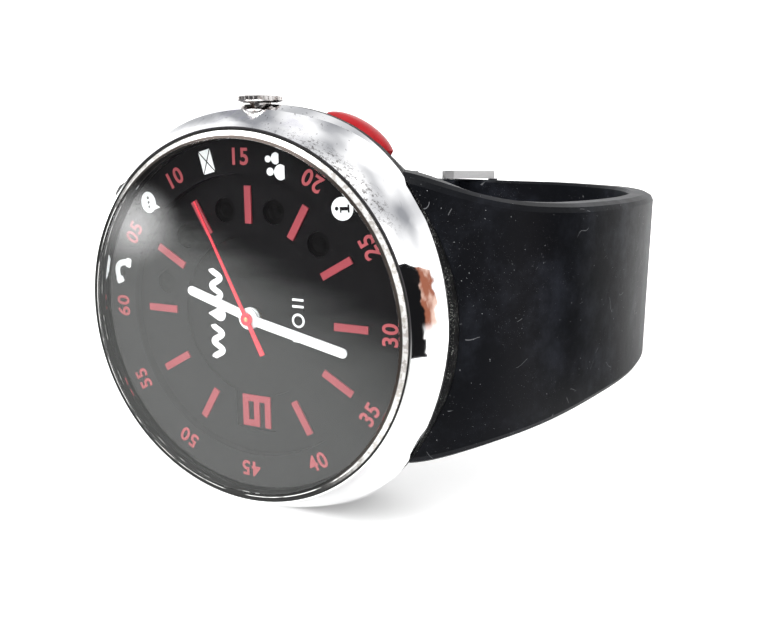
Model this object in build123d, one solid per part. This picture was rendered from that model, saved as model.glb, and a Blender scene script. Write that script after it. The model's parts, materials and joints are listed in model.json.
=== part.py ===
from build123d import *
import os
from math import cos, hypot, radians, sin

# Diver's wristwatch with notification lights, lying on its 9 o'clock side.
# Everything is modelled in the watch frame and turned to the resting pose at the end:
#   X towards 6 o'clock, Y from the crystal to the wrist, Z towards 3 o'clock,
#   origin on the hand axis, 0.6 mm in front of the tops of the hour bars.

# ---- case -------------------------------------------------------------------
CRYSTAL_R = 20.70
CRYSTAL_FACE_R = 19.86
CRYSTAL_TOP = -3.25
CRYSTAL_UNDER = -1.45
CRYSTAL_EDGE = -2.85
LIP_R = 20.95
SEAT_R = 19.95
SPLIT_Y = 2.40
RIM_Y = 3.40
SKIRT_R = 20.90
SLOPE_HOLLOW = 0.31
DIAL_R = 19.90
CAVITY_R = 18.60
BACK_IN = 9.40
BACK_OUT = 10.80
BACK_R = 20.60
REAR_Y = 10.30
FIT = 0.05
# Radii of one quarter of the outline, every 10 degrees from 6 o'clock (or 12) to 3 o'clock (or 9).
SLOPE_OUTLINE = (23.06, 23.06, 23.15, 23.36, 23.78, 24.22, 24.42, 24.45, 24.45, 24.45)
FLANK_FRONT = (22.70, 22.68, 22.55, 22.30, 22.02, 21.75, 21.52, 21.55, 21.68, 21.75)
FLANK_REAR = (24.80, 24.70, 24.45, 24.15, 23.95, 24.08, 24.12, 23.90, 23.65, 23.55)
RIM_OUTLINE = (23.65, 23.65, 23.65, 23.68, 23.83, 24.04, 24.12, 23.90, 23.65, 23.55)

# ---- dial -------------------------------------------------------------------
CHAPTER_R = 16.16
CHAPTER_TOP = -0.20
MID_TOP = 0.80
DIAL_UNDER = 1.50
POCKET_R = 9.32
POCKET_TOP = 1.15
WINDOW_HALF = 2.68
WINDOW_R = 13.60
BAR_IN = 10.66
BAR_OUT = 14.80
BAR_WIDE = 0.84
BAR_TOP = 0.60
NINE_STEP = 0.76
NINE_TOP = 0.95
LED_RADIUS = 12.43
LED_R = 1.38

# ---- hands ------------------------------------------------------------------
HOUR_ANGLE = 17.2
MINUTE_ANGLE = 192.4
SECOND_ANGLE = 63.3
HOUR_LONG = 9.00
MINUTE_LONG = 12.85
HAND_WIDE = 1.06
SECOND_LONG = 14.50
SECOND_TAIL = 4.45

# ---- crown and pushers ------------------------------------------------------
CROWN_Y = 3.00
CROWN_R = 2.50
CROWN_NECK_R = 1.20
CROWN_TOP = 24.50
PUSHER_Y = 5.10
PUSHER_LONG = 8.60
PUSHER_WIDE = 3.60
PUSHER_TOP = 24.65
PUSHER_BASE = 22.50
PUSHER_FLOOR = 21.50
PUSHERS = {"2": 2.04, "4": 3.96}

# ---- strap ------------------------------------------------------------------
EAR_Z = (6.0, 9.0)
BAR_X = 24.90
BAR_Y = 8.50
BAR_R = 0.90
STRAP_BACK = 3.0
STRAP_LIFT = 0.46
TAIL_THICK = 2.4
STATION_STEP = 5.0
FIRST_HOLE = 13.1
HOLE_STEP = 6.0
LAYER_GAP = 0.25
PIN_X = -5.4
PIN_Y = 74.45
FRAME_IN = 12.15
FRAME_OUT = 13.60
FRONT_BAR_X = 1.9
FRONT_BAR_Y = 78.20

# Outer face of each strap half from the case to the back: x, y, half width of the flat face, thickness.
SIX_RUN = (
    (15.0, 2.00, 15.15, 4.8), (20.0, 2.30, 14.56, 4.8), (22.6, 3.20, 13.78, 4.8), (25.6, 4.95, 12.86, 4.6),
    (28.8, 8.60, 12.04, 4.4), (31.8, 14.8, 11.50, 4.1), (34.3, 24.0, 11.22, 3.8), (36.1, 34.0, 11.12, 3.6),
    (36.5, 42.0, 11.12, 3.5), (35.3, 52.0, 11.1, 3.4), (31.2, 61.5, 11.1, 3.3), (24.3, 69.1, 11.0, 3.2),
    (15.2, 74.0, 11.0, 3.0),
)
TWELVE_RUN = (
    (15.0, 2.10, 14.8, 4.6), (20.0, 2.80, 13.8, 4.6), (22.8, 4.20, 13.0, 4.6), (25.5, 6.60, 12.4, 4.6),
    (28.2, 10.6, 11.9, 4.4), (30.9, 17.0, 11.5, 4.1), (33.4, 25.5, 11.2, 3.8), (35.2, 34.5, 11.0, 3.6),
    (35.6, 42.5, 10.9, 3.5), (34.6, 52.0, 10.9, 3.4), (30.9, 61.5, 10.9, 3.3), (24.3, 69.1, 10.9, 3.2),
    (15.2, 74.0, 10.9, 3.0),
)
# The half with the holes carries on through the buckle and lies over the other half.
TAIL = (
    (9.0, 75.90, 10.9, 2.8), (3.5, 77.20, 10.9, 2.5), (-1.5, 78.35, 10.9, 2.4), (-6.8, 78.90, 10.9, 2.4),
    (-11.8, 78.15, 10.9, 2.4), (-16.3, 76.65, 10.9, 2.4), (-21.4, 74.3, 10.9, 2.4), (-26.2, 71.3, 10.5, 2.3),
    (-30.2, 67.5, 9.5, 2.2),
)
# The other half ends at the buckle pin.
BUCKLE_END = ((9.5, 75.45, 10.9, 3.0), (4.2, 76.0, 10.9, 3.0))


def slab(points, z0, z1):
    return Pos(0, 0, z0) * extrude(make_face(Polyline(*points, close=True)), amount=z1 - z0)


def turned(points):
    return revolve(make_face(Polyline(*points, close=True)), axis=Axis.Y)


def disc(r, y0, y1):
    return Pos(0, (y0 + y1) / 2, 0) * Rot(-90, 0, 0) * Cylinder(r, y1 - y0)


def ring(r_out, r_in, y0, y1):
    return disc(r_out, y0, y1) - disc(r_in, y0 - 1, y1 + 1)


def post(r, z0, z1, x=0.0, y=0.0):
    return Pos(x, y, (z0 + z1) / 2) * Cylinder(r, z1 - z0)


def outline(quarter, y, grow=0.0):
    """Face square to Y whose four quarters share one row of radii."""
    radii = list(quarter) + list(quarter[-2::-1]) + list(quarter[1:]) + list(quarter[-2:0:-1])
    points = []
    for k, r in enumerate(radii):
        angle = radians(10 * k)
        points.append(((r + grow) * cos(angle), y, (r + grow) * sin(angle)))
    return make_face(Spline(*points, periodic=True))


def at_hour(shape, hour):
    """Turn a shape drawn at 3 o'clock (+Z) round the dial to another hour."""
    return Rot(0, (hour - 3) * 30, 0) * shape


def at_angle(shape, angle):
    """Turn a shape drawn at 12 o'clock (-X) clockwise round the dial."""
    return Rot(0, angle, 0) * shape


# ---- case parts -------------------------------------------------------------
def bezel():
    middle = [21.10 + SLOPE_HOLLOW * (r - 21.10) for r in SLOPE_OUTLINE]
    front = [21.10] * len(SLOPE_OUTLINE)
    slope = loft([outline(front, CRYSTAL_EDGE), outline(middle, -0.6), outline(SLOPE_OUTLINE, SPLIT_Y)])
    flank = loft([outline(FLANK_FRONT, CRYSTAL_EDGE), outline(FLANK_REAR, SPLIT_Y)], ruled=True)
    body = slope & flank
    body -= disc(LIP_R, CRYSTAL_EDGE - 1, -1.25)
    body -= disc(SEAT_R, -2.0, SPLIT_Y + 1)
    body -= disc(SKIRT_R + FIT, -0.80, SPLIT_Y + 1)
    return body - crown_passage()


def crown_passage():
    tube_way = post(1.50 + FIT, 18.0, 23.0, y=CROWN_Y)
    return tube_way + post(CROWN_NECK_R + 0.07, 22.60, 27.0, y=CROWN_Y)


def crystal():
    return turned([(0, CRYSTAL_TOP), (CRYSTAL_FACE_R, CRYSTAL_TOP), (CRYSTAL_R, CRYSTAL_EDGE),
                   (CRYSTAL_R, CRYSTAL_UNDER), (0, CRYSTAL_UNDER)])


def crystal_gasket():
    return turned([(CRYSTAL_R, -2.72), (LIP_R, -2.72), (LIP_R, -1.25), (SEAT_R, -1.25),
                   (SEAT_R, CRYSTAL_UNDER), (CRYSTAL_R, CRYSTAL_UNDER)])


def ear(side, z0, z1):
    """Lug ear that holds a spring bar inside the strap end."""
    points = [(21.0, 5.4), (24.2, 6.95), (25.6, 7.2), (26.4, 8.5), (25.8, 9.7), (24.6, 10.05), (21.0, 10.05)]
    body = slab(points, z0, z1) - post(BAR_R + FIT, z0 - 1, z1 + 1, BAR_X, BAR_Y)
    return body if side > 0 else mirror(body, about=Plane.YZ)


def ears():
    z0, z1 = EAR_Z
    return [ear(side, *span) for side in (1, -1) for span in ((z0, z1), (-z1, -z0))]


def pusher_pocket(grow=0.12):
    way = Pos(0, PUSHER_Y, PUSHER_FLOOR) * extrude(
        SlotOverall(PUSHER_LONG + 2 * grow, PUSHER_WIDE + 2 * grow), amount=6)
    return way + post(0.85, 17.5, 22.0, y=PUSHER_Y)


def case_body(grow, front_y):
    """Rim of full width, then a taper to the case back."""
    rim = loft([outline(RIM_OUTLINE, front_y, grow), outline(RIM_OUTLINE, RIM_Y, grow)], ruled=True)
    rear = [21.75] * len(RIM_OUTLINE)
    return rim + loft([outline(RIM_OUTLINE, RIM_Y, grow), outline(rear, REAR_Y, grow)], ruled=True)


def mid_case():
    body = case_body(0.0, SPLIT_Y) + disc(SKIRT_R, -0.75, SPLIT_Y)
    for lug in ears():
        body += lug
    body -= disc(DIAL_R + 0.1, -2.0, 1.55)
    body -= disc(CAVITY_R, 0.0, BACK_IN + 1)
    body -= disc(BACK_R + 0.1, BACK_IN, REAR_Y + 1)
    body -= crown_passage()
    for hour in PUSHERS.values():
        body -= at_hour(pusher_pocket(), hour)
    for hour in (1.5, 4.5, 7.5, 10.5):
        body -= at_hour(back_screw_hole(), hour)
    return body


def back_screw_hole():
    return Pos(0, BACK_IN - 1.2, 19.65) * Rot(-90, 0, 0) * Cylinder(0.45, 2.6)


def case_back():
    body = turned([(0, BACK_IN), (BACK_R, BACK_IN), (BACK_R, 10.2), (19.9, BACK_OUT), (0, BACK_OUT)])
    body -= ring(19.15, 18.75, BACK_IN - 1, BACK_IN + 0.35)
    body -= ring(14.6, 14.2, BACK_OUT - 0.15, BACK_OUT + 1)
    for hour in (1.5, 4.5, 7.5, 10.5):
        body -= at_hour(Pos(0, 10.2, 19.65) * Rot(-90, 0, 0) * Cylinder(0.50, 4), hour)
        body -= at_hour(Pos(0, 10.5, 19.65) * Rot(-90, 0, 0) * Cylinder(0.85, 1.2), hour)
    return body


def back_screw():
    head = Pos(0, 10.20, 19.65) * Rot(-90, 0, 0) * Cylinder(0.78, 0.58)
    shank = Pos(0, 9.18, 19.65) * Rot(-90, 0, 0) * Cylinder(0.42, 1.50)
    slot = Pos(0, 10.45, 19.65) * Box(1.8, 0.3, 0.22)
    return head + shank - slot


def back_gasket():
    return ring(19.13, 18.77, BACK_IN + 0.02, BACK_IN + 0.33)


# ---- dial parts -------------------------------------------------------------
def chapter_ring():
    return turned([(CHAPTER_R, CHAPTER_TOP), (DIAL_R, CHAPTER_TOP), (DIAL_R, MID_TOP), (CHAPTER_R, MID_TOP)])


def nine_window(y0, y1, grow=0.0):
    half = WINDOW_HALF + grow
    cut = Pos(0, (y0 + y1) / 2, -WINDOW_R / 2) * Box(2 * half, y1 - y0, WINDOW_R)
    return cut & disc(WINDOW_R + grow, y0, y1)


def dial():
    body = disc(DIAL_R, MID_TOP, DIAL_UNDER)
    body -= disc(POCKET_R, MID_TOP - 1, POCKET_TOP)
    body -= nine_window(MID_TOP - 1, POCKET_TOP)
    body -= disc(1.05, MID_TOP - 1, DIAL_UNDER + 1)
    for hour in range(5):
        body -= at_hour(Pos(0, 1.0, LED_RADIUS) * Rot(-90, 0, 0) * Cylinder(LED_R, 3), hour + 0.5)
    return body


def index_bars():
    mid = (BAR_IN + BAR_OUT) / 2
    bar = Pos(0, (BAR_TOP + MID_TOP) / 2, mid) * Box(BAR_WIDE, MID_TOP - BAR_TOP, BAR_OUT - BAR_IN)
    return Compound([at_hour(bar, hour) for hour in range(1, 13) if hour != 9])


def nine_numeral():
    """Block figure of five equal steps each way, its foot towards 6 o'clock."""
    s = NINE_STEP
    right = -11.25 + 2.5 * s
    strokes = [(0, 0, 5, 1), (0, 0, 1, 5), (0, 4, 3, 5), (2, 0, 3, 5), (4, 0, 5, 5)]
    body = None
    for down0, left0, down1, left1 in strokes:
        bar = Pos((down0 + down1) / 2 * s - 2.5 * s, (NINE_TOP + POCKET_TOP) / 2, right - (left0 + left1) / 2 * s)
        bar *= Box((down1 - down0) * s, POCKET_TOP - NINE_TOP, (left1 - left0) * s)
        body = bar if body is None else body + bar
    return body


def led_lens():
    dome = Pos(0, 2.75, 0) * Sphere(1.9) & disc(LED_R - 0.04, 0.85, 1.05)
    body = dome + disc(LED_R - 0.04, 1.05, DIAL_UNDER)
    return Pos(0, 0, LED_RADIUS) * body


def led_lenses():
    return Compound([at_hour(led_lens(), hour + 0.5) for hour in range(5)])


def led_board():
    body = ring(16.8, 9.4, 1.55, 1.85)
    return body - Pos(0, 1.7, -13.0) * Box(8.0, 1.0, 9.0)


# ---- hands ------------------------------------------------------------------
def baton(length, hub_r, bore, y0, y1):
    """Round-ended baton pointing at 12 o'clock."""
    body = Pos(-length / 2 + HAND_WIDE / 4, (y0 + y1) / 2, 0) * Box(length - HAND_WIDE / 2, y1 - y0, HAND_WIDE)
    body += Pos(-length + HAND_WIDE / 2, 0, 0) * disc(HAND_WIDE / 2, y0, y1)
    body += disc(hub_r, y0, y1)
    return body - disc(bore, y0 - 1, y1 + 1)


def hour_hand():
    return at_angle(baton(HOUR_LONG, 1.25, 0.84, 0.28, 0.50), HOUR_ANGLE)


def hour_tube():
    return ring(0.84, 0.60, 0.28, 2.30)


def minute_hand():
    return at_angle(baton(MINUTE_LONG, 1.22, 0.54, -0.12, 0.10), MINUTE_ANGLE)


def cannon_pinion():
    return ring(0.54, 0.34, -0.12, 2.60)


def second_hand():
    points = [(-SECOND_LONG, 0.0), (-SECOND_LONG, 0.10), (0.0, 0.24), (SECOND_TAIL, 0.33), (SECOND_TAIL, 0.0)]
    half = make_face(Polyline(*points, close=True))
    blade = extrude(half + mirror(half, about=Plane.XZ), amount=0.12)
    blade = Pos(0, -0.44, 0) * Rot(-90, 0, 0) * blade
    body = blade + ring(0.71, 0.26, -0.56, -0.32)
    body -= disc(0.26, -1, 1)
    return at_angle(body, SECOND_ANGLE)


def seconds_arbor():
    return turned([(0, -0.62), (0.20, -0.62), (0.26, -0.56), (0.26, -0.30), (0.28, -0.30), (0.28, 2.90), (0, 2.90)])


# ---- inside -----------------------------------------------------------------
def movement():
    body = disc(13.2, 2.95, 5.20) + disc(12.4, 1.90, 2.95)
    body -= disc(0.92, 1.0, 2.45)
    body -= disc(0.62, 1.0, 2.70)
    body -= disc(0.36, 1.0, 3.00)
    return body - post(0.75, 11.0, 14.0, y=CROWN_Y)


def movement_ring():
    body = ring(17.3, 13.3, 1.95, 6.00)
    for hour in PUSHERS.values():
        body -= at_hour(Pos(0, PUSHER_Y, 17.4) * Box(6.0, 4.0, 2.6), hour)
    return body - post(0.80, 12.0, 19.0, y=CROWN_Y)


def circuit_board():
    return disc(17.3, 6.05, 6.65) - disc(1.0, 5.0, 7.0)


def vibration_motor():
    return Pos(11.4, 0, 0) * disc(4.0, 6.70, 9.10)


def battery():
    can = disc(10.0, 7.15, 9.20) + disc(8.9, 6.70, 7.15)
    return Pos(-5.2, 0, 0) * can


def battery_clip():
    return Pos(-5.2, 9.28, 0) * Box(4.0, 0.12, 23.0)


# ---- crown ------------------------------------------------------------------
def upright(points):
    """Turned part whose axis is the crown's; points are radius and height."""
    return Pos(0, CROWN_Y, 0) * revolve(make_face(Plane.XZ * Polyline(*points, close=True)), axis=Axis.Z)


def crown():
    body = upright([(0, CROWN_TOP), (1.75, CROWN_TOP), (2.05, CROWN_TOP - 0.06), (CROWN_R, CROWN_TOP - 0.20),
                    (CROWN_R, 23.92), (2.36, 23.80), (1.90, 23.66), (CROWN_NECK_R, 23.62),
                    (CROWN_NECK_R, 22.70), (0, 22.70)])
    body -= post(0.50, 22.0, 23.9, y=CROWN_Y)
    for k in range(30):
        groove = Pos(0, CROWN_Y, 0) * Rot(0, 0, k * 12) * Pos(CROWN_R + 0.03, 0, 24.1) * Cylinder(0.10, 0.8)
        body -= groove
    return body


def crown_stem():
    return post(0.50, 12.2, 23.9, y=CROWN_Y)


def crown_bush():
    return post(1.00, 18.75, 21.40, y=CROWN_Y) - post(0.55, 18.0, 22.0, y=CROWN_Y)


def crown_tube():
    return post(1.50, 18.85, 22.50, y=CROWN_Y) - post(1.05, 18.0, 23.0, y=CROWN_Y)


def crown_gasket():
    return post(0.98, 22.05, 22.35, y=CROWN_Y) - post(0.50, 21.0, 23.0, y=CROWN_Y)


# ---- pushers ----------------------------------------------------------------
def pusher_cap():
    dome = Pos(0, PUSHER_Y, PUSHER_TOP - 2.3) * scale(Sphere(1), by=(5.0, 2.5, 2.3))
    foot = Pos(0, PUSHER_Y, PUSHER_BASE) * extrude(SlotOverall(PUSHER_LONG, PUSHER_WIDE), amount=4)
    body = dome & foot
    return body - post(1.35, 22.0, 23.3, y=PUSHER_Y) - post(0.80, 22.0, 23.9, y=PUSHER_Y)


def pusher_stem():
    return post(0.80, 17.75, 23.9, y=PUSHER_Y) - ring_groove()


def ring_groove():
    return post(0.90, 18.10, 18.40, y=PUSHER_Y) - post(0.60, 18.0, 18.5, y=PUSHER_Y)


def pusher_clip():
    return post(1.30, 18.12, 18.38, y=PUSHER_Y) - post(0.60, 18.0, 18.5, y=PUSHER_Y)


def pusher_spring():
    wire = 0.13
    turn = Helix(pitch=0.55, height=1.50, radius=1.07)
    coil = sweep(Plane(origin=turn @ 0, z_dir=turn % 0) * Circle(wire), path=turn, is_frenet=True)
    return Pos(0, PUSHER_Y, PUSHER_FLOOR + 0.15) * coil


# ---- strap ------------------------------------------------------------------
def strap_section(plane, half, thick, lift):
    """Rounded band section: half width of the outer face, thickness, and how far it sits off centre."""
    right = [(half, 0), (half + 0.60, -0.32), (half + 1.00, -1.05), (half + 1.00, 0.45 - thick), (half + 0.6, -thick)]
    left = [(-u, v) for u, v in reversed(right)]
    return make_face(plane * Polyline(*[(u + lift, v) for u, v in right + left], close=True))


def strap_line(stations):
    return Spline(*[(x, y, 0) for x, y, _, _ in stations])


def line_frame(line, u):
    """Plane on the outer face: x_dir across the strap, y_dir outwards, z_dir along the strap."""
    return Plane(origin=line.position_at(u), x_dir=(0, 0, 1), z_dir=line.tangent_at(u))


def frame_from_end(line, distance):
    return line_frame(line, 1 - distance / line.length)


def strap_run(stations):
    line = strap_line(stations)
    steps = [hypot(b[0] - a[0], b[1] - a[1]) for a, b in zip(stations, stations[1:])]
    marks = [sum(steps[:i]) / sum(steps) for i in range(len(stations))]
    count = round(line.length / STATION_STEP)
    sections = []
    for i in range(count + 1):
        u = i / count
        k = max(j for j in range(len(marks) - 1) if marks[j] <= u)
        t = (u - marks[k]) / (marks[k + 1] - marks[k])
        half = stations[k][2] * (1 - t) + stations[k + 1][2] * t
        thick = stations[k][3] * (1 - t) + stations[k + 1][3] * t
        lift = STRAP_LIFT * max(0.0, 1 - u / 0.45)
        sections.append(strap_section(line_frame(line, u), half, thick, lift))
    return loft(sections)


def ear_pockets():
    points = [(16.0, 4.6), (21.0, 5.1), (24.2, 6.70), (25.8, 6.95), (26.8, 8.5), (26.6, 16.0), (16.0, 16.0)]
    z0, z1 = EAR_Z
    return [slab(points, z0 - 0.15, z1 + 0.15), slab(points, -z1 - 0.15, 0.15 - z0)]


def strap_half(stations):
    """Strap half on the 6 o'clock side, its end shaped round the case and pocketed for the ears."""
    body = strap_run(stations) - case_body(0.06, -2.0)
    body -= disc(21.80, REAR_Y - 0.5, REAR_Y + 8)
    for pocket in ear_pockets():
        body -= pocket
    return body - post(BAR_R + FIT, -12.6, 12.6, BAR_X, BAR_Y)


def strap_6():
    line = strap_line(SIX_RUN + TAIL)
    body = strap_half(SIX_RUN + TAIL)
    for k in range(8):
        slot = frame_from_end(line, FIRST_HOLE + k * HOLE_STEP) * Box(2.3, 9.0, 3.6)
        body -= slot
    nose = Pos(0, 0, 6.0) * Box(40, 12, 12) - Pos(0, 0, -9.0) * Rot(90, 0, 0) * Cylinder(12.4, 14)
    return body - frame_from_end(line, 3.4) * nose


def strap_12():
    body = strap_half(TWELVE_RUN + BUCKLE_END)
    body -= post(0.86, -15, 15, -PIN_X, PIN_Y)
    body -= Pos(-PIN_X - 2.5, PIN_Y, 0) * Box(10.0, 9.0, 2.6)
    return mirror(body, about=Plane.YZ)


def spring_bar(side):
    body = post(BAR_R, -12.3, 12.3, side * BAR_X, BAR_Y)
    return body


# ---- buckle and keepers -----------------------------------------------------
def buckle_pin():
    return post(0.80, -FRAME_OUT + 0.1, FRAME_OUT - 0.1, PIN_X, PIN_Y)


def buckle_frame():
    arm_points = [(PIN_X - 1.5, PIN_Y - 0.6), (PIN_X - 0.6, PIN_Y - 1.5), (PIN_X + 1.2, PIN_Y - 1.4),
                  (FRONT_BAR_X + 0.8, FRONT_BAR_Y - 1.6), (FRONT_BAR_X + 1.2, FRONT_BAR_Y - 0.6),
                  (FRONT_BAR_X + 0.9, FRONT_BAR_Y + 0.8), (FRONT_BAR_X - 0.6, FRONT_BAR_Y + 1.0),
                  (PIN_X - 0.6, PIN_Y + 1.6), (PIN_X - 1.5, PIN_Y + 0.7)]
    body = slab(arm_points, FRAME_IN, FRAME_OUT) + slab(arm_points, -FRAME_OUT, -FRAME_IN)
    bar = [(FRONT_BAR_X - 0.9, FRONT_BAR_Y - 0.3), (FRONT_BAR_X + 1.1, FRONT_BAR_Y - 0.75),
           (FRONT_BAR_X + 1.2, FRONT_BAR_Y - 0.1), (FRONT_BAR_X + 0.9, FRONT_BAR_Y + 0.8),
           (FRONT_BAR_X - 0.6, FRONT_BAR_Y + 1.0)]
    body += slab(bar, -FRAME_OUT, FRAME_OUT)
    body -= slab([(FRONT_BAR_X - 2, FRONT_BAR_Y + 0.55), (FRONT_BAR_X + 3, FRONT_BAR_Y + 0.40),
                  (FRONT_BAR_X + 3, FRONT_BAR_Y + 3), (FRONT_BAR_X - 2, FRONT_BAR_Y + 3)], -1.15, 1.15)
    return body - post(0.86, -15, 15, PIN_X, PIN_Y)


def buckle_tongue():
    """Prong bent up through a strap hole and over the front bar."""
    points = [(PIN_X - 0.9, PIN_Y - 1.2), (PIN_X + 0.7, PIN_Y - 1.3), (PIN_X + 2.8, PIN_Y + 0.3),
              (PIN_X + 3.75, PIN_Y + 1.5), (PIN_X + 4.2, PIN_Y + 4.1), (PIN_X + 4.7, PIN_Y + 4.6),
              (FRONT_BAR_X - 1.0, FRONT_BAR_Y + 0.64), (FRONT_BAR_X + 1.9, FRONT_BAR_Y + 0.55),
              (FRONT_BAR_X + 1.9, FRONT_BAR_Y + 1.2), (FRONT_BAR_X - 1.2, FRONT_BAR_Y + 1.75),
              (PIN_X + 3.75, PIN_Y + 5.6), (PIN_X + 3.05, PIN_Y + 4.9), (PIN_X + 2.65, PIN_Y + 1.95),
              (PIN_X + 1.8, PIN_Y + 1.35), (PIN_X + 0.4, PIN_Y + 1.25), (PIN_X - 0.9, PIN_Y + 1.1),
              (PIN_X - 1.4, PIN_Y)]
    return slab(points, -0.95, 0.95) - post(0.86, -3, 3, PIN_X, PIN_Y)


def keeper(distance, long, play):
    """Flat loop round both strap layers, at a distance from the buckle end."""
    low = -(STRAP_BACK + 0.35 + play)
    high = LAYER_GAP + TAIL_THICK + 0.25 + play
    hole = Pos(0, (low + high) / 2, 0) * Box(24.2, high - low, long + 2)
    wall = Pos(0, (low + high) / 2, 0) * Box(26.6, high - low + 2.2, long)
    band = wall - hole
    band = fillet(band.edges().filter_by(Axis.Z).sort_by(lambda e: -abs(e.center().X))[:4], 1.4)
    return mirror(frame_from_end(strap_line(TWELVE_RUN + BUCKLE_END), distance) * band, about=Plane.YZ)


# ---- assembly ---------------------------------------------------------------
def all_parts():
    parts = {
        "bezel": bezel(), "crystal": crystal(), "crystal_gasket": crystal_gasket(),
        "mid_case": mid_case(), "case_back": case_back(), "case_back_gasket": back_gasket(),
        "case_back_screws": Compound([at_hour(back_screw(), hour) for hour in (1.5, 4.5, 7.5, 10.5)]),
        "chapter_ring": chapter_ring(), "dial": dial(), "index_bars": index_bars(),
        "nine_numeral": nine_numeral(), "led_lenses": led_lenses(), "led_board": led_board(),
        "hour_hand": hour_hand(), "hour_tube": hour_tube(), "minute_hand": minute_hand(),
        "cannon_pinion": cannon_pinion(), "second_hand": second_hand(), "seconds_arbor": seconds_arbor(),
        "movement": movement(), "movement_ring": movement_ring(), "circuit_board": circuit_board(),
        "vibration_motor": vibration_motor(), "battery": battery(), "battery_clip": battery_clip(),
        "crown": crown(), "crown_stem": crown_stem(), "crown_bush": crown_bush(),
        "crown_tube": crown_tube(), "crown_gasket": crown_gasket(),
        "strap_6": strap_6(), "strap_12": strap_12(),
        "spring_bar_6": spring_bar(1), "spring_bar_12": spring_bar(-1),
        "buckle_pin": buckle_pin(), "buckle_frame": buckle_frame(), "buckle_tongue": buckle_tongue(),
        "keeper_fixed": keeper(11.0, 5.0, 0.14), "keeper_free": keeper(19.5, 5.0, 0.40),
    }
    for name, hour in PUSHERS.items():
        parts[f"pusher_cap_{name}"] = at_hour(pusher_cap(), hour)
        parts[f"pusher_stem_{name}"] = at_hour(pusher_stem(), hour)
        parts[f"pusher_clip_{name}"] = at_hour(pusher_clip(), hour)
        parts[f"pusher_spring_{name}"] = at_hour(pusher_spring(), hour)
    return parts


def resting_place(parts):
    """Lean back until case and buckle both touch the table, then put the box's bottom centre at the origin."""
    low, high = 0.0, 20.0
    for _ in range(30):
        lean = (low + high) / 2
        case_low = (Rot(-lean, 0, 0) * parts["mid_case"]).bounding_box().min.Z
        buckle_low = (Rot(-lean, 0, 0) * parts["buckle_frame"]).bounding_box().min.Z
        if case_low < buckle_low:
            low = lean
        else:
            high = lean
    turn = Rot(-lean, 0, 0)
    boxes = [(turn * shape).bounding_box() for shape in parts.values()]
    x = (min(b.min.X for b in boxes) + max(b.max.X for b in boxes)) / 2
    y = (min(b.min.Y for b in boxes) + max(b.max.Y for b in boxes)) / 2
    z = min(b.min.Z for b in boxes)
    return Pos(-x, -y, -z) * turn


if __name__ == "__main__":
    os.makedirs("parts", exist_ok=True)
    shapes = all_parts()
    place = resting_place(shapes)
    for name, shape in shapes.items():
        export_step(place * shape, f"parts/{name}.step")
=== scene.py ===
import json
from math import cos, pi, radians, sin

import bmesh
import bpy
from mathutils import Matrix, Vector


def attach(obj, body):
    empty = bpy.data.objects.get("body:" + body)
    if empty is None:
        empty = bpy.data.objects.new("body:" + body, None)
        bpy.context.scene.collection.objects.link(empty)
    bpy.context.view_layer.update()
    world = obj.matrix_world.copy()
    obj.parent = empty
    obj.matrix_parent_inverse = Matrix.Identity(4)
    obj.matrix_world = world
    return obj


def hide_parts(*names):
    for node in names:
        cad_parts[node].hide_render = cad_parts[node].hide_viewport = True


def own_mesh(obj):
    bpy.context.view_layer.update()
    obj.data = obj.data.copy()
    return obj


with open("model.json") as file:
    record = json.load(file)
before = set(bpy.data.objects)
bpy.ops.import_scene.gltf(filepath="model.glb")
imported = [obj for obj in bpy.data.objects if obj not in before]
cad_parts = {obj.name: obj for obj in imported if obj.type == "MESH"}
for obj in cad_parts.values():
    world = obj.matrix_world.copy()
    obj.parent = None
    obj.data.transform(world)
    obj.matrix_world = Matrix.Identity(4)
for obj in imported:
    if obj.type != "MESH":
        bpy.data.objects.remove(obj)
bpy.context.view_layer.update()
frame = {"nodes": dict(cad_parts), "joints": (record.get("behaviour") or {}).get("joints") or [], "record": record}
nodes = frame["nodes"]
joints = {j["name"]: j for j in frame["joints"]}

# Watch frame, in millimetres: X towards 6 o'clock, Y from the crystal to the wrist,
# Z towards 3 o'clock, origin on the hand axis.
ORIGIN = Vector(joints["minute_turn"]["pos_m"])
AXIS_Y = Vector(joints["minute_turn"]["axis"])
AXIS_X = Vector((1, 0, 0))
AXIS_Z = AXIS_X.cross(AXIS_Y)

CHAPTER_TOP = -0.20
POCKET_TOP = 1.15
FLOOR_Z = -24.2

CHAMFER_RADIUS = 0.01988   # metres, where the crystal's ground chamfer starts
NUMBER_SIZE = 2.50
NUMBER_WEIGHT = 0.055
NUMBER_SQUEEZE = 0.97
NUMBER_RADIUS = 17.95
NUMBER_SHIFT = 0.18        # towards 12 o'clock
PRINT_LIFT = 0.011         # printed marks stand this far off the face under them
IMAGE_WIDTH = 768
FOCAL_LENGTH = 820         # in the same units as IMAGE_WIDTH
SENSOR_WIDTH = 36.0
SKY_STRENGTH = 1.65
FLOOR_REACH = 6.0          # metres
FLOOR_GLOW = 0.22
SHEET_REACH = 3000


def at(x, y, z):
    """Point in the row frame for a point of the watch frame in millimetres."""
    return ORIGIN + (AXIS_X * x + AXIS_Y * y + AXIS_Z * z) / 1000


def along(x, y, z):
    return (AXIS_X * x + AXIS_Y * y + AXIS_Z * z).normalized()


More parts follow.
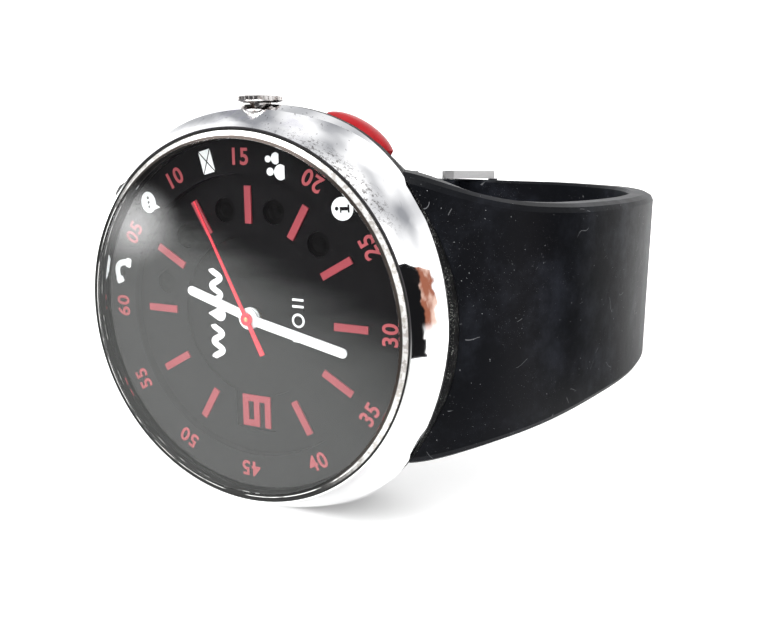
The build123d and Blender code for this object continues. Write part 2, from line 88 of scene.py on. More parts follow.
# ---- materials --------------------------------------------------------------
class Nodes:
    """Small helper for building node trees."""

    def __init__(self, name):
        self.mat = bpy.data.materials.new(name)
        self.mat.use_nodes = True
        self.tree = self.mat.node_tree
        self.tree.nodes.clear()
        self.out = self.add("ShaderNodeOutputMaterial")

    def add(self, kind, inputs=(), **props):
        node = self.tree.nodes.new(kind)
        for key, value in props.items():
            setattr(node, key, value)
        for key, value in dict(inputs).items():
            self.put(node.inputs[key], value)
        return node

    def put(self, socket, value):
        if isinstance(value, bpy.types.NodeSocket):
            self.tree.links.new(value, socket)
        else:
            socket.default_value = value

    def coords(self):
        """Position in the row frame, in metres."""
        return self.add("ShaderNodeTexCoord").outputs["Object"]

    def noise(self, scale, detail=3.0, rough=0.55, vector=None, stretch=None):
        vector = vector or self.coords()
        if stretch:
            vector = self.add("ShaderNodeMapping", {"Vector": vector, "Scale": stretch}).outputs[0]
        settings = {"Vector": vector, "Scale": scale, "Detail": detail, "Roughness": rough}
        return self.add("ShaderNodeTexNoise", settings).outputs["Fac"]

    def math(self, op, a, b=0.5):
        return self.add("ShaderNodeMath", {0: a, 1: b}, operation=op).outputs[0]

    def mix(self, fac, a, b):
        node = self.add("ShaderNodeMix", data_type="RGBA")
        self.put(node.inputs[0], fac)
        self.put(node.inputs[6], rgba(a) if not isinstance(a, bpy.types.NodeSocket) else a)
        self.put(node.inputs[7], rgba(b) if not isinstance(b, bpy.types.NodeSocket) else b)
        return node.outputs[2]

    def span(self, value, low, high):
        """Maps 0..1 to low..high."""
        node = self.add("ShaderNodeMapRange", {0: value, 3: low, 4: high})
        return node.outputs[0]

    def window(self, value, start, stop):
        """0 below start, 1 above stop."""
        node = self.add("ShaderNodeMapRange", {0: value, 1: start, 2: stop}, interpolation_type="SMOOTHSTEP")
        return node.outputs[0]

    def bump(self, height, strength, distance, normal=None):
        node = self.add("ShaderNodeBump", {"Height": height, "Strength": strength, "Distance": distance})
        if normal is not None:
            self.put(node.inputs["Normal"], normal)
        return node.outputs[0]

    def vector(self, op, a, b):
        """Vector Math node: its number for a dot product or distance, else its vector."""
        node = self.add("ShaderNodeVectorMath", {0: a, 1: b}, operation=op)
        return node.outputs["Value" if op in ("DOT_PRODUCT", "DISTANCE") else 0]

    def from_origin(self):
        """Vector from the origin of the watch frame to the shaded place."""
        return self.vector("SUBTRACT", self.coords(), ORIGIN)

    def near(self, point, full, gone):
        """1 within the distance full of a point, 0 beyond gone (metres)."""
        reach = self.vector("DISTANCE", self.coords(), point)
        return self.add("ShaderNodeMapRange", {0: reach, 1: full, 2: gone, 3: 1.0, 4: 0.0},
                        interpolation_type="SMOOTHSTEP").outputs[0]

    def hand_radius(self):
        """Distance from the hand axis, in metres."""
        rel = self.from_origin()
        deep = self.vector("DOT_PRODUCT", rel, AXIS_Y)
        total = self.vector("DOT_PRODUCT", rel, rel)
        flat = self.math("SUBTRACT", total, self.math("MULTIPLY", deep, deep))
        return self.math("SQRT", flat)

    def shader(self, **inputs):
        node = self.add("ShaderNodeBsdfPrincipled")
        for key, value in inputs.items():
            if key.endswith("Color") and isinstance(value, tuple):
                value = rgba(value)
            self.put(node.inputs[key.replace("_", " ")], value)
        self.tree.links.new(node.outputs[0], self.out.inputs[0])
        return node


def rgba(colour):
    if isinstance(colour, (int, float)):
        colour = (colour, colour, colour)
    return tuple(colour)[:3] + (1.0,)


def dust(n, scale, amount):
    """Mask of small scattered specks: 0 clean, 1 on a speck."""
    warp = n.add("ShaderNodeTexVoronoi", {"Vector": n.coords(), "Scale": scale, "Randomness": 1.0})
    size = n.math("MULTIPLY", n.add("ShaderNodeSeparateColor", {0: warp.outputs["Color"]}).outputs[0], amount)
    return n.math("LESS_THAN", warp.outputs["Distance"], size)


def fibres(n, scale, width, seed):
    """Mask of thin curled threads lying here and there."""
    moved = n.vector("ADD", n.coords(), (seed, seed * 0.7, -seed))
    field = n.add("ShaderNodeTexNoise", {"Vector": moved, "Scale": scale, "Detail": 1.0}).outputs["Fac"]
    off = n.math("ABSOLUTE", n.math("SUBTRACT", field, 0.5))
    line = n.math("LESS_THAN", off, width)
    gate = n.noise(scale * 2.2, 1.0, 0.5, moved)
    return n.math("MULTIPLY", line, n.math("GREATER_THAN", gate, 0.63))


def scratches(n, turn, scale):
    """Mask of fine straight scratches along a turned axis."""
    turned = n.add("ShaderNodeMapping", {"Vector": n.coords(), "Rotation": turn}).outputs[0]
    long = n.noise(scale, 2.0, 0.5, turned, (4.0, 4.0, 0.12))
    return n.window(long, 0.66, 0.72)


def polished_steel():
    n = Nodes("polished_steel")
    film = n.window(n.noise(160, 5.0, 0.62), 0.42, 0.66)
    top = n.near(at(-2, 0, 22), 0.004, 0.015)
    mottle = n.window(n.noise(520, 6.0, 0.72), 0.44, 0.60)
    # Grey-lilac patches near the top of the bezel: smudges that roughen the polish, with a painted reflection as
    # their grey colour.
    smudge_and_painted_reflection = n.math("MULTIPLY", top, n.math("MULTIPLY", mottle, film))
    inner = n.near(at(13.5, -1, 17), 0.004, 0.010)
    speck = n.window(n.noise(1900, 5.0, 0.8), 0.50, 0.60)
    rim = n.window(n.hand_radius(), 0.02215, 0.02150)
    dirt = n.math("MULTIPLY", n.math("MULTIPLY", inner, rim), speck)
    colour = n.mix(smudge_and_painted_reflection, (0.94, 0.94, 0.945), (0.76, 0.745, 0.82))
    colour = n.mix(n.math("MULTIPLY", dirt, 0.80), colour, (0.10, 0.085, 0.08))
    rough = n.math("ADD", n.span(film, 0.02, 0.07), n.math("MULTIPLY", n.math("MAXIMUM", smudge_and_painted_reflection, dirt), 0.12))
    lines = n.math("MAXIMUM", scratches(n, (0.5, 0.2, 0.7), 520), scratches(n, (0.1, 0.6, -0.5), 700))
    lines = n.math("MULTIPLY", lines, n.near(at(6, 0, 21), 0.006, 0.020))
    colour = n.mix(n.math("MULTIPLY", lines, 0.55), colour, (0.30, 0.29, 0.30))
    n.shader(Base_Color=colour, Metallic=1.0, Roughness=rough, Normal=n.bump(lines, 0.05, 0.00001))
    return n.mat


def satin_steel(name="satin_steel", tone=0.62):
    n = Nodes(name)
    grain = n.noise(2500, 3.0, 0.6, stretch=(1.0, 14.0, 1.0))
    colour = n.mix(grain, (tone * 0.85, tone * 0.85, tone * 0.86), (tone * 1.1, tone * 1.09, tone * 1.08))
    n.shader(Base_Color=colour, Metallic=1.0, Roughness=n.span(grain, 0.26, 0.42),
             Normal=n.bump(grain, 0.08, 0.00002))
    return n.mat


def black_case():
    n = Nodes("black_case")
    fine = n.noise(26000, 2.0, 0.6)
    specks = dust(n, 7000, 0.42)
    lint = n.window(n.noise(5200, 4.0, 0.8), 0.60, 0.68)
    heap = n.window(n.noise(500, 3.0, 0.6), 0.40, 0.62)
    dirt = n.math("MAXIMUM", n.math("MULTIPLY", specks, 0.75), n.math("MULTIPLY", lint, 0.55))
    dirt = n.math("MULTIPLY", dirt, n.span(heap, 0.08, 0.60))
    colour = n.mix(dirt, (0.004, 0.004, 0.0045), (0.42, 0.43, 0.40))
    n.shader(Base_Color=colour, Roughness=0.5, Specular_IOR_Level=0.12, Normal=n.bump(fine, 0.2, 0.00002))
    return n.mat


def dial_black():
    n = Nodes("dial_black")
    grain = n.noise(30000, 2.0, 0.6)
    specks = dust(n, 900, 0.030)
    base = n.mix(grain, (0.0038, 0.0036, 0.0040), (0.0058, 0.0056, 0.0062))
    colour = n.mix(n.math("MULTIPLY", specks, 0.35), base, (0.25, 0.25, 0.24))
    n.shader(Base_Color=colour, Roughness=n.span(grain, 0.40, 0.50), Specular_IOR_Level=0.07,
             Normal=n.bump(grain, 0.01, 0.000002))
    return n.mat


def paint(name, colour, rough, spread=0.14):
    n = Nodes(name)
    grain = n.noise(22000, 2.0, 0.6)
    low = tuple(c * (1 - spread) for c in colour)
    high = tuple(min(1.0, c * (1 + spread)) for c in colour)
    n.shader(Base_Color=n.mix(grain, low, high), Roughness=n.span(grain, rough - 0.06, rough + 0.06),
             Normal=n.bump(grain, 0.12, 0.00001))
    return n.mat


def smoked_lens():
    n = Nodes("smoked_lens")
    dots = n.add("ShaderNodeTexVoronoi", {"Vector": n.coords(), "Scale": 3800.0, "Randomness": 0.15})
    bead = n.window(dots.outputs["Distance"], 0.55, 0.15)
    colour = n.mix(bead, (0.0006, 0.0006, 0.0006), (0.004, 0.004, 0.004))
    n.shader(Base_Color=colour, Roughness=n.span(bead, 0.5, 0.35), Specular_IOR_Level=0.05,
             Normal=n.bump(bead, 0.35, 0.00003))
    return n.mat


def silicone():
    """Dark silicone rubber with a cloudy bloom, dust caught in it and a few fibres."""
    n = Nodes("silicone")
    fine = n.noise(14000, 3.0, 0.65)
    broad = n.noise(75, 5.0, 0.62)
    bloom = n.window(n.noise(110, 6.0, 0.70), 0.44, 0.76)
    specks = dust(n, 1500, 0.075)
    tiny = dust(n, 3600, 0.10)
    micro = dust(n, 7000, 0.12)
    patch = n.window(n.noise(70, 3.0, 0.6), 0.40, 0.62)
    thread = fibres(n, 170, 0.0022, 0.31)
    small = n.math("MULTIPLY", n.math("MULTIPLY", tiny, patch), 0.42)
    dirt = n.math("MAXIMUM", n.math("MULTIPLY", specks, 0.45), small)
    dirt = n.math("MAXIMUM", dirt, n.math("MULTIPLY", n.math("MULTIPLY", micro, patch), 0.25))
    dirt = n.math("MAXIMUM", dirt, n.math("MULTIPLY", thread, 0.16))
    base = n.mix(bloom, (0.0024, 0.0028, 0.0040), (0.0085, 0.0100, 0.0145))
    n.shader(Base_Color=n.mix(dirt, base, (0.55, 0.56, 0.58)), Roughness=n.span(fine, 0.40, 0.52),
             Specular_IOR_Level=n.span(bloom, 0.07, 0.12),
             Normal=n.bump(fine, 0.12, 0.00003, n.bump(broad, 0.28, 0.0003)))
    return n.mat


def red_lacquer():
    n = Nodes("red_lacquer")
    ripple = n.noise(1100, 2.0, 0.5)
    colour = n.mix(ripple, (0.20, 0.002, 0.004), (0.30, 0.004, 0.008))
    n.shader(Base_Color=colour, Roughness=n.span(ripple, 0.24, 0.34), Specular_IOR_Level=0.12,
             Coat_Weight=0.16, Coat_Roughness=0.10, Normal=n.bump(ripple, 0.10, 0.00008))
    return n.mat


def crown_steel():
    n = Nodes("crown_steel")
    grain = n.noise(3000, 3.0, 0.6)
    # Brown patches from noise: a painted reddish-brown reflection in the steel's colour.
    painted_brown_reflection = n.window(n.noise(1400, 3.0, 0.6), 0.45, 0.7)
    colour = n.mix(painted_brown_reflection, (0.62, 0.60, 0.59), (0.16, 0.11, 0.09))
    n.shader(Base_Color=colour, Metallic=1.0, Roughness=n.span(grain, 0.16, 0.30),
             Normal=n.bump(grain, 0.05, 0.00001))
    return n.mat


def mineral_glass():
    """Clear glass with an opaque ground chamfer, painted pale on the side towards 3 and 6 o'clock and painted dark
    on the other.
    """
    n = Nodes("mineral_glass")
    smudge = n.noise(300, 4.0, 0.6)
    glass = n.add("ShaderNodeBsdfPrincipled", {
        "Base Color": rgba((0.985, 0.99, 0.99)), "Transmission Weight": 1.0, "IOR": 1.5,
        "Roughness": n.span(n.window(smudge, 0.4, 0.8), 0.0, 0.02)})
    clear = n.add("ShaderNodeBsdfTransparent", {"Color": rgba((0.96, 0.965, 0.965))})
    path = n.add("ShaderNodeLightPath")
    shadow = n.math("MAXIMUM", path.outputs["Is Shadow Ray"], path.outputs["Is Diffuse Ray"])
    both = n.add("ShaderNodeMixShader", {0: shadow, 1: glass.outputs[0], 2: clear.outputs[0]})
    radius = n.hand_radius()
    # Painted light and shade: position sets the chamfer pale on the side towards 3 and 6 o'clock and dark on the
    # other.
    lit_side = n.vector("DOT_PRODUCT", n.from_origin(), along(0.72, 0, 0.70))
    lit = n.window(lit_side, -0.006, 0.010)
    ticks = n.window(n.noise(1500, 4.0, 0.7), 0.42, 0.56)
    chips = n.mix(ticks, (0.58, 0.55, 0.52), (0.96, 0.95, 0.93))
    thin = n.window(n.math("ABSOLUTE", n.math("SUBTRACT", radius, 0.02045)), 0.00030, 0.00020)
    chips = n.mix(thin, (0.055, 0.045, 0.04), chips)
    # A broken bright line on the chamfer's dark side: a painted highlight along its edge.
    ring_line = n.window(n.math("ABSOLUTE", n.math("SUBTRACT", radius, 0.02032)), 0.00007, 0.00003)
    broken_edge_highlight = n.math("MULTIPLY", ring_line, n.window(n.noise(260, 3.0, 0.6), 0.42, 0.55))
    shade = n.mix(broken_edge_highlight, (0.008, 0.008, 0.008), (0.80, 0.80, 0.78))
    ring = n.mix(lit, shade, chips)
    ground = n.add("ShaderNodeBsdfPrincipled", {
        "Base Color": ring, "Roughness": n.span(lit, 0.5, 0.22), "Specular IOR Level": 0.15,
        "Metallic": n.span(lit, 0.0, 0.6)})
    edge = n.math("GREATER_THAN", radius, CHAMFER_RADIUS)
    whole = n.add("ShaderNodeMixShader", {0: edge, 1: both.outputs[0], 2: ground.outputs[0]})
    n.tree.links.new(whole.outputs[0], n.out.inputs[0])
    return n.mat


def metal(name, colour, rough):
    n = Nodes(name)
    grain = n.noise(5000, 3.0, 0.6)
    low = tuple(c * 0.85 for c in colour)
    n.shader(Base_Color=n.mix(grain, low, colour), Metallic=1.0,
             Roughness=n.span(grain, rough - 0.05, rough + 0.1), Normal=n.bump(grain, 0.10, 0.00002))
    return n.mat


def circuit_green():
    n = Nodes("circuit_green")
    brick = n.add("ShaderNodeTexBrick", {"Vector": n.coords(), "Scale": 700.0})
    tracks = n.mix(brick.outputs["Fac"], (0.01, 0.09, 0.035), (0.02, 0.17, 0.07))
    n.shader(Base_Color=tracks, Roughness=0.35, Normal=n.bump(brick.outputs["Fac"], 0.2, 0.00002))
    return n.mat


MATERIALS = {
    "polished_steel": polished_steel(),
    "mineral_glass": mineral_glass(),
    "black_rubber": paint("black_rubber", (0.006, 0.006, 0.006), 0.6),
    "black_case": black_case(),
    "satin_steel": satin_steel(),
    "dial_black": dial_black(),
    "red_print": paint("red_print", (0.27, 0.026, 0.038), 0.55),
    "smoked_lens": smoked_lens(),
    "circuit_green": circuit_green(),
    "white_paint": paint("white_paint", (0.82, 0.84, 0.84), 0.4, spread=0.04),
    "red_paint": paint("red_paint", (0.66, 0.02, 0.04), 0.35),
    "brass": metal("brass", (0.78, 0.60, 0.32), 0.25),
    "movement_metal": metal("movement_metal", (0.66, 0.60, 0.48), 0.35),
    "inner_plastic": paint("inner_plastic", (0.75, 0.74, 0.70), 0.5),
    "battery_can": satin_steel("battery_can", 0.7),
    "spring_steel": satin_steel("spring_steel", 0.5),
    "silicone": silicone(),
    "buckle_steel": satin_steel("buckle_steel", 0.80),
    "red_lacquer": red_lacquer(),
}


def dress(piece, slot):
    piece.data.materials.clear()
    piece.data.materials.append(MATERIALS[slot])


for part in frame["record"]["subparts"]:
    dress(nodes[part["node"]], part["material_slot"])
nodes["crown"].data.materials[0] = crown_steel()


# ---- button springs -----------------------------------------------------------
def pressed_spring(hour):
    """Copy of a push button's coil, fixed to the case in place of the original part."""
    name = f"pusher_spring_{hour}"
    coil = bpy.data.objects.new(f"coil_{hour}", nodes[name].data.copy())
    bpy.context.scene.collection.objects.link(coil)
    bpy.context.view_layer.update()
    coil.matrix_world = nodes[name].matrix_world
    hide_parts(name)
    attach(coil, "case")
    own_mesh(coil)


for hour in ("2", "4"):
    pressed_spring(hour)


# ---- dial marks -------------------------------------------------------------
def drawing_matrix(right, up, place):
    """Matrix that lays a flat drawing on a dial face, from two directions of the watch frame."""
    m = Matrix.Identity(4)
    for i, column in enumerate((along(*right), along(*up), -AXIS_Y, place)):
        for row in range(3):
            m[row][i] = column[row]
    return m


def dial_matrix(angle, radius, y, flip):
    """Place of a flat drawing: its x to the right and y up, seen from the front.

    angle is clockwise from 12 o'clock; flip turns the top of the drawing towards the centre.
    """
    a = radians(angle)
    out = Vector((-cos(a), 0, sin(a)))
    up = -out if flip else out
    right = Vector((0, 1, 0)).cross(up)
    return drawing_matrix(right, up, at(out.x * radius, y, out.z * radius))


def text_mesh(word, size, weight, squeeze=1.0):
    """Figures as a thin mesh centred on the origin, size in metres."""
    curve = bpy.data.curves.new("figures", "FONT")
    curve.body = word
    curve.size = size
    curve.offset = weight
    curve.extrude = 0.00001
    curve.align_x = "CENTER"
    curve.align_y = "CENTER"
    curve.space_character = 1.12
    maker = bpy.data.objects.new("figures_maker", curve)
    bpy.context.scene.collection.objects.link(maker)
    bpy.context.view_layer.update()
    mesh = bpy.data.meshes.new_from_object(maker.evaluated_get(bpy.context.evaluated_depsgraph_get()))
    bpy.data.objects.remove(maker)
    xs = [v.co.x for v in mesh.vertices]
    ys = [v.co.y for v in mesh.vertices]
    middle = Vector(((min(xs) + max(xs)) / 2, (min(ys) + max(ys)) / 2, 0))
    for v in mesh.vertices:
        v.co = v.co - middle
        v.co.x *= squeeze
    return mesh


def plate(loops, thick=0.00002):
    """Flat mesh from outlines in metres; later outlines are holes when they lie inside."""
    curve = bpy.data.curves.new("plate", "CURVE")
    curve.dimensions = "2D"
    curve.fill_mode = "BOTH"
    curve.extrude = thick / 2
    for loop in loops:
        spline = curve.splines.new("POLY")
        spline.points.add(len(loop) - 1)
        for point, (x, y) in zip(spline.points, loop):
            point.co = (x, y, 0, 1)
        spline.use_cyclic_u = True
    maker = bpy.data.objects.new("plate_maker", curve)
    bpy.context.scene.collection.objects.link(maker)
    bpy.context.view_layer.update()
    mesh = bpy.data.meshes.new_from_object(maker.evaluated_get(bpy.context.evaluated_depsgraph_get()))
    bpy.data.objects.remove(maker)
    return mesh


def joined(name, meshes, slot, body="case"):
    """One object from several (mesh, matrix) pairs, riding on a body."""
    build = bmesh.new()
    for mesh, matrix in meshes:
        copy = mesh.copy()
        copy.transform(matrix)
        build.from_mesh(copy)
    data = bpy.data.meshes.new(name)
    build.to_mesh(data)
    build.free()
    piece = bpy.data.objects.new(name, data)
    bpy.context.scene.collection.objects.link(piece)
    data.materials.append(MATERIALS[slot])
    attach(piece, body)
    return piece


def circle(x, y, r, count=28):
    return [(x + r * cos(2 * pi * k / count), y + r * sin(2 * pi * k / count)) for k in range(count)]


def scaled(points, unit):
    return [(x * unit, y * unit) for x, y in points]


MM = 0.001
numbers = []
for minute in range(5, 65, 5):
    flip = 20 <= minute <= 40
    mesh = text_mesh(f"{minute:02d}", NUMBER_SIZE * MM, NUMBER_WEIGHT * MM, NUMBER_SQUEEZE)
    place = dial_matrix(minute * 6, NUMBER_RADIUS, CHAPTER_TOP - PRINT_LIFT, flip)
    numbers.append((mesh, Matrix.Translation(-NUMBER_SHIFT * MM * AXIS_X) @ place))
figures = joined("minute_numbers", numbers, "red_print")
figures.data.materials[0] = paint("red_figures", (0.36, 0.052, 0.062), 0.55)


def upright_matrix(x, z, y, tilt=0.0):
    """Place of a flat drawing that stands with its top towards 12 o'clock."""
    t = radians(tilt)
    right = Vector((-sin(t), 0, cos(t)))
    up = Vector((-cos(t), 0, -sin(t)))
    return drawing_matrix(right, up, at(x, y, z))


def ribbon(points, width):
    """Outline of a line of the given width through points."""
    left, right = [], []
    for k, (x, y) in enumerate(points):
        ax, ay = points[max(0, k - 1)]
        bx, by = points[min(len(points) - 1, k + 1)]
        long = ((bx - ax) ** 2 + (by - ay) ** 2) ** 0.5
        nx, ny = -(by - ay) / long * width / 2, (bx - ax) / long * width / 2
        left.append((x + nx, y + ny))
        right.append((x - nx, y - ny))
    return left + right[::-1]


def curve_points(start, bend, end, count=16):
    points = []
    for k in range(count + 1):
        t = k / count
        a, b, c = (1 - t) ** 2, 2 * t * (1 - t), t * t
        points.append((a * start[0] + b * bend[0] + c * end[0], a * start[1] + b * bend[1] + c * end[1]))
    return points


def oval(x, y, rx, ry, start=0.0, stop=360.0, count=36):
    points = []
    for k in range(count + (stop - start < 360)):
        a = radians(start + (stop - start) * k / count)
        points.append((x + rx * cos(a), y + ry * sin(a)))
    return points


def drawing(name, slot, place, shapes):
    """White mark made of flat shapes, each a list of outlines in millimetres."""
    flats = []
    for k, loops in enumerate(shapes):
        lift = Matrix.Translation((0, 0, k * 0.0000015))
        flats.append((plate([scaled(loop, MM) for loop in loops]), place @ lift))
    return joined(name, flats, slot)


def turned_box(x, y, wide, tall, angle):
    a = radians(angle)
    corners = []
    for u, v in ((-0.5, -0.35), (-0.35, -0.5), (0.35, -0.5), (0.5, -0.35),
                 (0.5, 0.35), (0.35, 0.5), (-0.35, 0.5), (-0.5, 0.35)):
        corners.append((x + u * wide * cos(a) - v * tall * sin(a), y + u * wide * sin(a) + v * tall * cos(a)))
    return corners


ICON_Y = CHAPTER_TOP - PRINT_LIFT
drawing("phone_icon", "white_paint", upright_matrix(-17.9, 4.3, ICON_Y),
        [[ribbon(curve_points((1.02, -0.85), (1.15, 1.35), (-1.05, 0.60)), 0.74)],
         [turned_box(0.98, -0.98, 1.12, 0.80, -12)], [turned_box(-1.14, 0.48, 0.80, 1.12, 22)]])
drawing("speech_icon", "white_paint", upright_matrix(-13.2, 12.6, ICON_Y, 8),
        [[oval(0, 0.05, 1.22, 1.06)] + [circle(dx, 0.05, 0.17, 14) for dx in (-0.52, 0.0, 0.52)],
         [[(-0.95, -0.45), (-0.25, -0.85), (-0.75, -1.55)]]])
fold = ((-1.275, -0.8), (1.275, -0.8), (1.275, 0.8), (-1.275, 0.8))
flaps = []
for k in range(4):
    (ax, ay), (bx, by) = fold[k], fold[(k + 1) % 4]
    mx, my = (ax + bx) / 2, (ay + by) / 2
    far = (mx * mx + my * my) ** 0.5
    slip = 0.07 * (2.0 if far > 1 else 1.2)
    sx, sy = mx / far * slip, my / far * slip
    tx, ty = (bx - ax) * 0.045, (by - ay) * 0.045
    flaps.append([[(ax + tx, ay + ty), (bx - tx, by - ty), (sx, sy)]])
envelope_place = dial_matrix(75.0, 17.94, ICON_Y, False) @ Matrix.Rotation(pi / 2, 4, "Z")
drawing("envelope_icon", "white_paint", envelope_place, flaps)
drawing("people_icon", "white_paint", upright_matrix(4.3, 17.0, ICON_Y),
        [[oval(-0.60, 0.66, 0.42, 0.44)],
         [oval(-0.64, -0.72, 0.84, 0.88, 0, 180) + [(-1.30, -1.12), (0.02, -1.12)]],
         [oval(0.72, 0.92, 0.36, 0.38)],
         [oval(0.80, -0.12, 0.64, 0.66, 0, 180) + [(0.34, -0.42), (1.26, -0.42)]]])
drawing("info_icon", "white_paint", upright_matrix(12.3, 12.8, ICON_Y, 3.5),
        [[oval(0, 0, 1.22, 1.28), circle(0.02, 0.66, 0.22, 16),
          [(-0.42, 0.30), (0.19, 0.30), (0.19, -0.62), (0.42, -0.62), (0.42, -0.84),
           (-0.42, -0.84), (-0.42, -0.62), (-0.19, -0.62), (-0.19, 0.10), (-0.42, 0.10)]]])


def wave(start, crests, pitch, swing, width):
    points = []
    for k in range(crests * 20 + 1):
        points.append((start + pitch * k / 20, swing * cos(2 * pi * k / 20)))
    return ribbon(points, width)


def drop(x, y, r):
    tip = [(x, y + 2.1 * r)]
    return tip + oval(x, y, r, r, 150, 390, 24)


MARK_Y = POCKET_TOP - PRINT_LIFT
drawing("wave_mark", "white_paint", upright_matrix(-5.2, -0.15, MARK_Y),
        [[wave(-5.30, 2, 2.0, 0.62, 0.72)], [drop(0, -0.42, 0.80)], [wave(1.30, 2, 2.0, 0.62, 0.72)]])
ticks = []
for x in (-2.35, -1.60, 1.60, 2.35):
    ticks.append([[(x - 0.13, -0.72), (x + 0.13, -0.72), (x + 0.13, 0.72), (x - 0.13, 0.72)]])
depth_ring = [circle(0, 0, 0.82), circle(0, 0, 0.56)]
drawing("depth_mark", "white_paint", upright_matrix(5.85, 0.1, MARK_Y), ticks + [depth_ring])

bpy.context.scene.view_settings.view_transform = "Standard"

# ---- camera, light and floor ------------------------------------------------
camera_data = bpy.data.cameras.new("camera")
camera_data.sensor_width = SENSOR_WIDTH
camera_data.lens = FOCAL_LENGTH / IMAGE_WIDTH * SENSOR_WIDTH
camera_data.clip_start = 0.001
camera = bpy.data.objects.new("camera", camera_data)
bpy.context.scene.collection.objects.link(camera)
right = along(0.8989, 0.4381, -0.0006)
back = along(0.4276, -0.877, 0.2192)
up = back.cross(right).normalized()
right = up.cross(back).normalized()
place = at(53.25, -75.13, 20.11)
camera.matrix_world = Matrix([
    [right[i], up[i], back[i], place[i]] for i in range(3)
] + [[0, 0, 0, 1]])
bpy.context.scene.camera = camera

def studio_sky():
    """White surroundings; polished parts see soft grey clouds in them."""
    world = bpy.data.worlds.new("studio")
    bpy.context.scene.world = world
    world.use_nodes = True
    tree = world.node_tree
    back_node = tree.nodes["Background"]
    way = tree.nodes.new("ShaderNodeTexCoord")
    cloud = tree.nodes.new("ShaderNodeTexNoise")
    cloud.inputs["Scale"].default_value = 1.3
    cloud.inputs["Detail"].default_value = 2.0
    tree.links.new(way.outputs["Generated"], cloud.inputs["Vector"])
    tones = tree.nodes.new("ShaderNodeValToRGB")
    tones.color_ramp.elements[0].position = 0.36
    tones.color_ramp.elements[0].color = (0.22, 0.225, 0.24, 1.0)
    tones.color_ramp.elements[1].position = 0.54
    tones.color_ramp.elements[1].color = (1.0, 1.0, 1.0, 1.0)
    tree.links.new(cloud.outputs["Fac"], tones.inputs["Fac"])
    path = tree.nodes.new("ShaderNodeLightPath")
    pick = tree.nodes.new("ShaderNodeMix")
    pick.data_type = "RGBA"
    pick.inputs[6].default_value = (1.0, 1.0, 1.0, 1.0)
    tree.links.new(path.outputs["Is Glossy Ray"], pick.inputs[0])
    tree.links.new(tones.outputs["Color"], pick.inputs[7])
    tree.links.new(pick.outputs[2], back_node.inputs[0])
    back_node.inputs[1].default_value = SKY_STRENGTH


studio_sky()


def floor():
    """Plain pale floor."""
    data = bpy.data.meshes.new("floor")
    corners = [(x * FLOOR_REACH, y * FLOOR_REACH, 0) for x, y in ((-1, -1), (1, -1), (1, 1), (-1, 1))]
    data.from_pydata(corners, [], [(0, 1, 2, 3)])
    piece = bpy.data.objects.new("floor", data)
    bpy.context.scene.collection.objects.link(piece)
    n = Nodes("floor_white")
    grain = n.noise(1800, 3.0, 0.6)
    pale = n.mix(grain, (0.92, 0.92, 0.92), (0.95, 0.95, 0.95))
    n.shader(Base_Color=pale, Roughness=0.85, Specular_IOR_Level=0.15,
             Emission_Color=(1.0, 1.0, 1.0), Emission_Strength=FLOOR_GLOW,
             Normal=n.bump(grain, 0.04, 0.00002))
    data.materials.append(n.mat)


floor()


def softbox(name, place, target, width, height, power):
    data = bpy.data.lights.new(name, "AREA")
    data.shape = "RECTANGLE"
    data.size = width
    data.size_y = height
    data.energy = power
    piece = bpy.data.objects.new(name, data)
    bpy.context.scene.collection.objects.link(piece)
    piece.location = place
    piece.rotation_euler = (Vector(target) - Vector(place)).to_track_quat("-Z", "Y").to_euler()
    return piece


def reflected(piece):
    """Keeps a studio panel out of the picture and out of the shadows: it is seen in polish and glass only."""
    piece.visible_camera = False
    piece.visible_shadow = False
    piece.visible_diffuse = False


def panel(name, corners, material):
    data = bpy.data.meshes.new(name)
    data.from_pydata([at(*corner) for corner in corners], [], [(0, 1, 2, 3)])
    data.materials.append(material)
    piece = bpy.data.objects.new(name, data)
    bpy.context.scene.collection.objects.link(piece)
    reflected(piece)
    return piece


def glow_card(name, azimuth, height, distance, reach, strength):
    """Soft round light in front of the dial, azimuth from straight ahead towards 6 o'clock."""
    a = radians(azimuth)
    out = Vector((sin(a), -cos(a), 0)) * distance
    side = Vector((cos(a), sin(a), 0)) * reach
    n = Nodes(name)
    soft = n.near(at(out.x, out.y, height), 0.0, reach / 1000)
    light = n.add("ShaderNodeEmission", {"Strength": strength})
    gap = n.add("ShaderNodeBsdfTransparent")
    both = n.add("ShaderNodeMixShader", {0: soft, 1: gap.outputs[0], 2: light.outputs[0]})
    n.tree.links.new(both.outputs[0], n.out.inputs[0])
    corners = [(out.x + u * side.x, out.y + u * side.y, height + v * reach)
               for u, v in ((-1, -1), (1, -1), (1, 1), (-1, 1))]
    return panel(name, corners, n.mat)


SHEET_OUT = Vector((0.665, -0.746, 0))
SHEET_SIDE = Vector((0.746, 0.665, 0))


def sheet_material():
    """White tabletop near the watch that gives way to a dark room further out."""
    n = Nodes("table_sheet")
    far = n.vector("DOT_PRODUCT", n.from_origin(), along(*SHEET_OUT))
    cloud = n.span(n.noise(22, 3.0, 0.5), -0.012, 0.012)
    dark = n.window(n.math("ADD", far, cloud), 0.020, 0.064)
    colour = n.mix(dark, (1.0, 1.02, 1.0), (0.045, 0.042, 0.045))
    light = n.add("ShaderNodeEmission", {"Color": colour, "Strength": 1.62})
    n.tree.links.new(light.outputs[0], n.out.inputs[0])
    return n.mat


def sheet_corner(out, side, z):
    p = SHEET_OUT * out + SHEET_SIDE * side
    return (p.x, p.y, z)


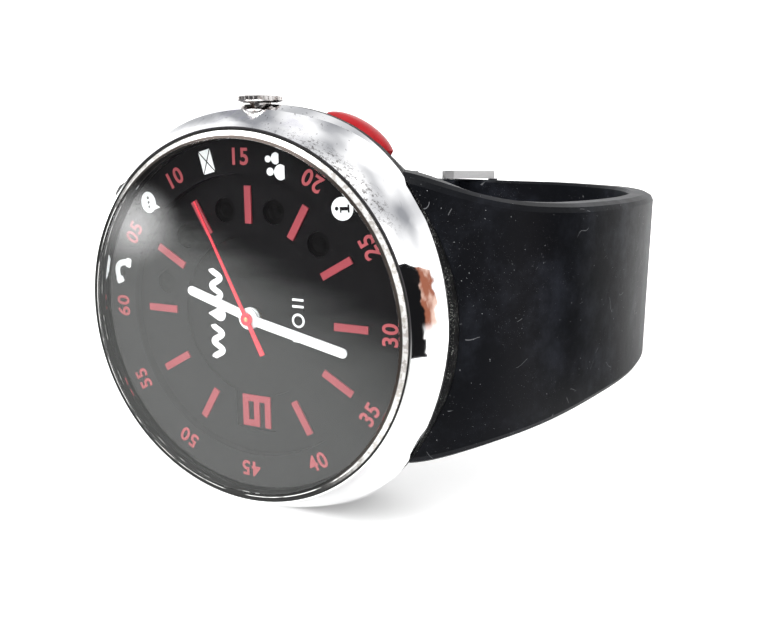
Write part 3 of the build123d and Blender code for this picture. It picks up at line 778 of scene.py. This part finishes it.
def dark_wall():
    n = Nodes("dark_wall")
    patch = n.noise(6, 3.0, 0.5)
    colour = n.mix(patch, (0.035, 0.033, 0.036), (0.10, 0.095, 0.10))
    light = n.add("ShaderNodeEmission", {"Color": colour, "Strength": 1.0})
    n.tree.links.new(light.outputs[0], n.out.inputs[0])
    return n.mat


sheet_corners = [sheet_corner(out, side, FLOOR_Z) for out, side in (
    (-60, -SHEET_REACH), (SHEET_REACH, -SHEET_REACH), (SHEET_REACH, SHEET_REACH), (-60, SHEET_REACH))]
panel("table_sheet", sheet_corners, sheet_material())
wall_corners = [(-2040, 280, FLOOR_Z), (840, -1880, FLOOR_Z), (840, -1880, 1500), (-2040, 280, 1500)]
panel("dark_wall", wall_corners, dark_wall())
glow_card("window_glare", -45.7, -5.4, 168, 14, 6.5)


def sleeve():
    """Dark sleeve and a hand beside the strap, seen in the polished slope at 6 o'clock."""
    n = Nodes("sleeve")
    rel = n.from_origin()
    across = n.vector("DOT_PRODUCT", rel, AXIS_X)
    folds = n.span(n.noise(70, 3.0, 0.6), -0.004, 0.004)
    edge = n.math("ADD", across, folds)
    glint = n.window(n.noise(160, 3.0, 0.6, stretch=(1.0, 1.0, 0.4)), 0.42, 0.60)
    hand = n.mix(glint, (0.42, 0.15, 0.09), (1.0, 0.70, 0.58))
    colour = n.mix(n.window(edge, 0.0635, 0.0645), (0.010, 0.010, 0.011), hand)
    light = n.add("ShaderNodeEmission", {"Color": colour, "Strength": 1.0})
    gap = n.add("ShaderNodeBsdfTransparent")
    tall = n.vector("DOT_PRODUCT", rel, AXIS_Z)
    low = n.math("MULTIPLY", n.window(tall, -0.004, -0.012), n.window(edge, 0.0620, 0.0630))
    open_part = n.math("MAXIMUM", n.window(edge, 0.0690, 0.0700), low)
    both = n.add("ShaderNodeMixShader", {0: open_part, 1: light.outputs[0], 2: gap.outputs[0]})
    n.tree.links.new(both.outputs[0], n.out.inputs[0])
    return n.mat


panel("sleeve", [(45, 44, -30), (86, -3.6, -30), (86, -3.6, 12), (45, 44, 30)], sleeve())
softbox("key", (-0.25, -0.30, 0.55), (0, 0, 0.02), 0.5, 0.5, 5.0)
